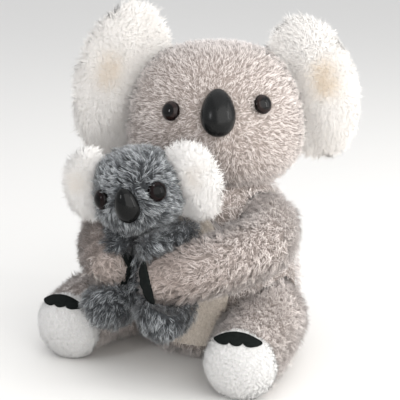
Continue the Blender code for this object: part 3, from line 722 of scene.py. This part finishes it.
coats = {
    "head": {**headCoat, "pile": 0.0050, "strands": 32500, "lay": awayFrom(middleOf("nose"), sag=0.15)},
    # the torso's pale tone is its light fur, raised further as painted light for its window-lit side
    "torso": {**limbCoat, "pile": 0.0076, "strands": 27500, "lay": fallDown, "tone": 0.88},
    "left_arm": {
        **limbCoat, "lay": toward(middleOf("left_hand_claws")), "tone": shadedHand("left_hand_claws"),
    },
    "right_arm": {
        **limbCoat, "lay": toward(middleOf("right_hand_claws")), "tone": shadedHand("right_hand_claws"),
    },
    "left_leg": {**legCoat, "lay": toward(middleOf("left_foot_pad"))},
    "right_leg": {**legCoat, "lay": toward(middleOf("right_foot_pad"))},
    "left_foot_pad": {**padCoat, "lay": awayFrom(middleOf("left_foot_pad"), sag=0.3)},
    "right_foot_pad": {**padCoat, "lay": awayFrom(middleOf("right_foot_pad"), sag=0.3)},
    "belly_panel": {
        **base, "fur": finishes["creamFur"], "skin": finishes["creamSkin"], "voxel": 0, "pile": 0.0046,
        "lean": 0.8, "tuft": 0.0018, "pinch": 0.12, "width": 0.00034, "ruffle": 0.9, "strands": 11000,
        # the belly's low tone is darkened as painted shade where the belly lies in shadow; the paler chest is its
        # longer, whiter pile
        "tone": upwards(low=0.48, more=0.48), "lengthAt": upwards(low=1.0, more=0.9), "lay": fallDown,
        "leftOut": ("torso",),
    },
    "cub_head": {
        **cub, "strands": 22000, "pile": 0.0068, "lay": partedFringe(middleOf("cub_nose")), "tone": 0.5,
    },
    "cub_body": {
        **cub, "strands": 9000, "lay": fallDown, "tone": paler(chestMark, size=0.008, much=0.55, usual=0.36),
    },
    "cub_left_arm": {**cub, "strands": 5000, "lay": fallForward, "tone": 0.19},
    "cub_right_arm": {
        **cub, "strands": 4500, "lay": fallForward, "tone": paler(mittMark, size=0.02, much=-0.3, usual=0.16),
    },
    "cub_left_leg": dict(cubLeg),
    "cub_right_leg": dict(cubLeg),
}


# ears: two halves round one seam, flat where they meet, with a crease in the white front
def earSpace(joint):
    # an ear's seam and its directions: out along its width, back, and up
    place = np.array(joints[joint]["pos_m"])
    up = np.array(joints[joint]["axis"])
    back = unit(np.cross(up, (0, 0, 1)))
    back = back * (1 if back[1] > 0 else -1)
    side = 1 if "left" in joint else -1
    return place, np.stack([side * np.cross(back, up), back, up])


def earCoat(ear, half, look):
    node = f"{ear}_{half}"
    place, axes = earSpace(ear + "_fold")
    local = (points(nodes[node].data) - place) @ axes.T
    low, high = local.min(0), local.max(0)
    middle = (low[2] + high[2]) / 2
    tall = (high[2] - low[2]) / 2
    crease = np.array([look["creaseOut"] * high[0], 0.0, middle + look["creaseUp"] * tall])
    reach = look["creaseReach"] * tall

    def fromCrease(places):
        # a place in the ear's own directions, and how far it is from the crease
        local = (places - place) @ axes.T
        away = local - crease
        away[:, 1] = 0
        away[:, 2] -= np.clip(away[:, 2], -reach, reach)
        return local, away

    def near(away, size):
        return np.exp(-(away**2).sum(1) / size**2)

    def shape(places):
        local, away = fromCrease(places)
        out = np.clip(local[:, 0] / high[0], 0, 1)
        hollow = 1 - look["hollow"] * near(away, look["hollowSize"])
        local[:, 0] -= look["inset"] * out ** look["insetPower"]
        local[:, 1] = local[:, 1] * look["flat"] * hollow + look["setBack"]
        local[:, 2] = middle + (local[:, 2] - middle) * (1 - look["inset"] / tall)
        return place + local @ axes

    def lay(root, out):
        away = fromCrease(root)[1]
        away = away / (np.linalg.norm(away, axis=1, keepdims=True) + look["parting"])
        return away @ axes + look["sag"] * down

    # the tan in the crease is painted shade of its hollow, made with the tan strands
    def tone(root):
        local, away = fromCrease(root)
        rim = look["rimTone"] * np.exp(-((local[:, 1] / look["rimSize"]) ** 2))
        return look["tone"] + rim - look["creaseShade"] * near(away, look["creaseShadeSize"])

    def leanAt(root):
        # strands stand up in the crease and along the seam
        local, away = fromCrease(root)
        raised = 1 - look["creaseLift"] * near(away, look["hollowSize"])
        return raised - look["fuzz"] * np.exp(-((local[:, 1] / look["fuzzSize"]) ** 2))

    def densityAt(places):
        local, away = fromCrease(places)
        return (np.abs(local[:, 1]) > look["seam"]) * (1 + near(away, look["hollowSize"]))

    other = f"{ear}_{'back' if half == 'front' else 'front'}"
    return {
        **look["coat"], "pile": look["pile"], "strands": look["strands"], "shape": shape, "lay": lay,
        "tone": tone, "leanAt": leanAt, "densityAt": densityAt, "leftOut": (other,), "voxel": 0,
        "barred": axes[1] * (1 if half == "front" else -1),  # no strand points through the seam
    }


whiteCoat = {
    **base, "fur": finishes["whiteFur"], "skin": finishes["whiteSkin"], "lean": 1.2, "width": 0.00031,
    "tuft": 0.0008, "pinch": 0.0, "swirl": 0.4, "swirlSize": 0.010, "ruffle": 0.6, "toneTuft": 0.01,
    "toneStrand": 0.04, "toneDrift": 0.02, "roundness": 0.0,
}
earFront = {
    "coat": whiteCoat, "pile": 0.0080, "strands": 25000, "tone": 0.84, "sag": 0.1, "parting": 0.005,
    "inset": 0.0036, "insetPower": 1.5, "flat": 0.74, "setBack": 0.0, "seam": 0.0006,
    "creaseOut": 0.48, "creaseUp": 0.10, "creaseReach": 0.10, "creaseShade": 0.75, "creaseShadeSize": 0.0064,
    "creaseLift": 0.3, "hollow": 0.32, "hollowSize": 0.013, "fuzz": 0.4, "fuzzSize": 0.004,
    "rimTone": 0.0, "rimSize": 0.0075,
}
rightEarFront = {**earFront, "creaseShade": 0.5, "creaseShadeSize": 0.0054}
earBack = {
    **earFront, "coat": {**grey, "fur": finishes["earBackFur"], "skin": finishes["earBackSkin"]},
    "pile": 0.0070, "strands": 8500, "tone": 0.38, "inset": 0.0062, "flat": 0.66, "setBack": 0.0015,
    "seam": 0.0008, "creaseOut": 0.1, "creaseShade": 0.0, "hollow": 0.0, "fuzz": 0.0, "rimTone": 0.60,
}
cubEarFront = {
    **earFront, "pile": 0.0070, "strands": 9000, "tone": 0.92, "inset": 0.0034,
    "hollow": 0.15, "hollowSize": 0.006, "creaseShadeSize": 0.0035, "creaseShade": 0.25,
}
cubEarBack = {**earBack, "coat": cub, "pile": 0.0050, "strands": 3500, "tone": 0.5, "inset": 0.0050}
for ear, front, back in (
    ("left_ear", earFront, earBack), ("right_ear", rightEarFront, earBack),
    ("cub_left_ear", cubEarFront, cubEarBack), ("cub_right_ear", cubEarFront, cubEarBack),
):
    coats[ear + "_front"] = earCoat(ear, "front", front)
    coats[ear + "_back"] = earCoat(ear, "back", back)

for number, (node, coat) in enumerate(coats.items()):
    coat["node"] = node
    coat["seed"] = strand["firstSeed"] + number
    growFur(node + "_fur", makeSkin(node + "_skin", coat), coat)
    print("furred", node)


# plastic eyes and noses, domed, with their widest rim against the pile
button = {"segments": 48, "rings": 32, "rim": 0.97, "oval": 1.2}


def buttonSpace(node):
    # the place of a button's rim, its directions, half sizes and rise
    shape = points(nodes[node].data)
    axis = unit(shape.mean(0) - points(nodes[node + "_washer"].data).mean(0))
    middle = shape.mean(0)
    along = (shape - middle) @ axis
    flat = shape - middle - np.outer(along, axis)
    across = np.linalg.norm(flat, axis=1)
    rim = along[across > button["rim"] * across.max()].max()
    values, directions = np.linalg.eigh(flat.T @ flat)
    up = directions[:, 2] * np.sign(directions[2, 2])
    if values[2] < button["oval"] * values[1]:  # a round one stands upright
        up = unit(np.array([0, 0, 1.0]) - axis * axis[2])
    side = np.cross(up, axis)
    halves = [np.abs(flat @ direction).max() for direction in (side, up)]
    return middle + axis * rim, np.stack([side, up, axis], 1), halves, along.max() - rim


def makeButton(node, look):
    place, axes, (wide, tall), rise = buttonSpace(node)
    deselectAll()
    bpy.ops.mesh.primitive_uv_sphere_add(segments=button["segments"], ring_count=button["rings"], radius=1)
    piece = bpy.context.object
    piece.name = node + "_button"
    bpy.ops.object.mode_set(mode="EDIT")
    bpy.ops.transform.resize(value=(wide, tall, rise))
    bpy.ops.object.mode_set(mode="OBJECT")
    if look["taper"]:
        taper = piece.modifiers.new("taper", "SIMPLE_DEFORM")
        taper.deform_method = "TAPER"
        taper.deform_axis = "Y"
        taper.factor = -look["taper"]
        applyAll(piece)
    shape = points(piece.data)
    shape[:, 2] = np.where(shape[:, 2] < 0, shape[:, 2] * look["back"], shape[:, 2])
    fromMiddle = np.hypot(shape[:, 0] / wide, shape[:, 1] / tall)
    fromMiddle = np.where(shape[:, 2] < 0, 2 - fromMiddle, fromMiddle)
    layer = piece.data.attributes.new("fromMiddle", "FLOAT", "POINT")
    layer.data.foreach_set("value", fromMiddle.astype(np.float32))
    setPoints(piece.data, place + shape @ axes.T)
    shadeSmooth(piece)
    piece.data.materials.append(look["finish"])
    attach(piece, bodyOfNode[node])
    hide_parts(node)


# rings are shares of a button's radius
eyePlastic = {
    "pupil": (0.002, 0.002, 0.002), "rings": (0.0, 0.60, 0.68, 0.86, 0.97), "rimShade": 0.25,
    "ripple": 0.002, "rippled": 0.06, "polished": 0.05,
}
nosePlastic = {
    "grain": 0.0006, "detail": 3.0, "stops": [(0.3, (0.002, 0.0022, 0.0022)), (0.7, (0.005, 0.0053, 0.0053))],
    "grained": 0.12, "nub": [(0.03, (1, 1, 1)), (0.07, (0, 0, 0))], "nubHeight": 0.5, "grainHeight": 0.06,
    "bump": 0.5, "depth": 0.0006,
}


def eyeFinish(name, iris, shine):
    # a black pupil, a brown iris and a dark rim, under a faintly rippled polish
    finish = Finish(name, Specular_IOR_Level=shine)
    ring = finish.node("ShaderNodeAttribute", {"attribute_name": "fromMiddle"}, output=2)
    pupil = eyePlastic["pupil"]
    rim = tuple(eyePlastic["rimShade"] * part for part in iris)
    stops = list(zip(eyePlastic["rings"], (pupil, pupil, iris, iris, rim)))
    finish.feed("Base Color", finish.ramp(ring, stops))
    ripple = finish.noise(eyePlastic["ripple"])
    finish.feed("Roughness", ripple * eyePlastic["rippled"] + eyePlastic["polished"])
    return finish.material


def noseFinish(name, roughness, coatWeight, shine):
    # fine grained black plastic with the small nub of its mould in the middle
    finish = Finish(name, Coat_Weight=coatWeight, Coat_Roughness=0.08, Specular_IOR_Level=shine)
    ring = finish.node("ShaderNodeAttribute", {"attribute_name": "fromMiddle"}, output=2)
    grain = finish.noise(nosePlastic["grain"], nosePlastic["detail"])
    finish.feed("Base Color", finish.ramp(grain, nosePlastic["stops"]))
    finish.feed("Roughness", grain * nosePlastic["grained"] + roughness)
    nub = finish.ramp(ring, nosePlastic["nub"])
    height = nub * nosePlastic["nubHeight"] + grain * nosePlastic["grainHeight"]
    finish.bump(height, nosePlastic["bump"], nosePlastic["depth"])
    return finish.material


eyeLook = {
    "taper": 0.0, "back": 0.9,
    "finish": eyeFinish("eye_plastic", iris=(0.012, 0.006, 0.005), shine=0.2),
}
cubEyeLook = {**eyeLook, "finish": eyeFinish("cub_eye_plastic", iris=(0.006, 0.003, 0.003), shine=0.1)}
noseLook = {
    "taper": 0.28, "back": 0.6,
    "finish": noseFinish("nose_plastic", roughness=0.2, coatWeight=0.0, shine=0.2),
}
cubNoseLook = {
    **noseLook, "finish": noseFinish("cub_nose_plastic", roughness=0.08, coatWeight=0.06, shine=0.12),
}
for side in ("left", "right"):
    makeButton(side + "_eye", eyeLook)
    makeButton(f"cub_{side}_eye", cubEyeLook)
makeButton("nose", noseLook)
makeButton("cub_nose", cubNoseLook)
print("eyes and noses made")


# felt claws, rounded at their cut edges
feltLook = {
    "fibre": 0.0004, "detail": 4.0, "cloud": 0.003, "fibreTone": 0.7, "cloudTone": 0.3, "cloudHeight": 0.4,
    "stops": [(0.3, (0.003, 0.004, 0.004)), (0.75, (0.011, 0.013, 0.012))], "bump": 0.8, "depth": 0.0004,
    "rounding": 2, "fuzz": 0.0007, "ripple": 0.0001, "rippleSize": 0.0012, "rippleSeed": 5,
}


def feltFinish():
    finish = Finish("black_felt", Roughness=0.95, Specular_IOR_Level=0.08)
    fibres = finish.noise(feltLook["fibre"], feltLook["detail"])
    clouds = finish.noise(feltLook["cloud"])
    tone = fibres * feltLook["fibreTone"] + clouds * feltLook["cloudTone"]
    finish.feed("Base Color", finish.ramp(tone, feltLook["stops"]))
    finish.bump(fibres + clouds * feltLook["cloudHeight"], feltLook["bump"], feltLook["depth"])
    return finish.material


def makeClaws(node, finish):
    claws = copyOf(node, node + "_felt")
    rounded = claws.modifiers.new("rounded", "SUBSURF")
    rounded.levels = rounded.render_levels = feltLook["rounding"]
    applyAll(claws)
    ripple = swirl(points(claws.data), feltLook["rippleSize"], feltLook["rippleSeed"])[:, :1]
    fuzz = feltLook["fuzz"] + feltLook["ripple"] * ripple
    setPoints(claws.data, points(claws.data) + normals(claws.data) * fuzz)
    shadeSmooth(claws)
    claws.data.materials.append(finish)
    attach(claws, bodyOfNode[node])
    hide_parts(node)


felt = feltFinish()
for node in nodes:
    if node.endswith("_claws"):
        makeClaws(node, felt)
print("claws made")

# washers inside the heads keep their shape, in milky nylon
nylon = Finish("washer_nylon", Roughness=0.5, Subsurface_Weight=0.1, Subsurface_Scale=0.002)
cloud = nylon.noise(0.004)
nylon.feed("Base Color", nylon.ramp(cloud, [(0.3, (0.66, 0.65, 0.62)), (0.7, (0.76, 0.75, 0.73))]))
for node in hidden:
    for slot in nodes[node].material_slots:
        slot.material = nylon.material
print("washers finished")

# floor and studio light, aimed at the middle of the toy
studio = {
    "floorSize": 6, "floorColour": (0.74, 0.73, 0.71, 1), "aim": (0, -0.02, 0.1),
    "sky": (0.97, 0.98, 1.0, 1), "skyStrength": 0.88,
}
lights = {
    "window_light": {
        "place": (0.95, -0.60, 0.55), "size": (1.4, 1.4), "power": 16.0, "colour": (1.0, 0.985, 0.965),
    },
    "strip_light": {
        "place": (0.95, 0.12, 0.38), "size": (0.12, 0.6), "power": 2.4, "colour": (1.0, 0.99, 0.97),
    },
    "front_light": {
        "place": (-0.35, -1.1, 0.55), "size": (0.16, 0.30), "power": 2.2, "colour": (0.97, 0.985, 1.0),
    },
    "side_light": {
        "place": (0.95, 0.45, 0.45), "size": (0.4, 0.9), "power": 2.6, "colour": (1.0, 0.985, 0.965),
    },
    "top_light": {
        "place": (0.1, 0.1, 1.2), "size": (1.5, 1.5), "power": 5.0, "colour": (1.0, 1.0, 1.0),
    },
}


def addLight(name, look):
    data = bpy.data.lights.new(name, "AREA")
    data.shape = "RECTANGLE"
    data.size, data.size_y = look["size"]
    data.energy = look["power"]
    data.color = look["colour"]
    light = bpy.data.objects.new(name, data)
    bpy.context.scene.collection.objects.link(light)
    light.location = look["place"]
    light.rotation_euler = (Vector(studio["aim"]) - Vector(look["place"])).to_track_quat("-Z", "Y").to_euler()


deselectAll()
bpy.ops.mesh.primitive_plane_add(size=studio["floorSize"])
floor = bpy.context.object
floor.name = "floor"
floorFinish = Finish("floor", Base_Color=studio["floorColour"], Roughness=0.8)
floor.data.materials.append(floorFinish.material)
for name, look in lights.items():
    addLight(name, look)
world = bpy.data.worlds.new("studio")
world.use_nodes = True
background = world.node_tree.nodes["Background"]
background.inputs[0].default_value = studio["sky"]
background.inputs[1].default_value = studio["skyStrength"]
bpy.context.scene.world = world
bpy.context.scene.view_settings.view_transform = "Standard"
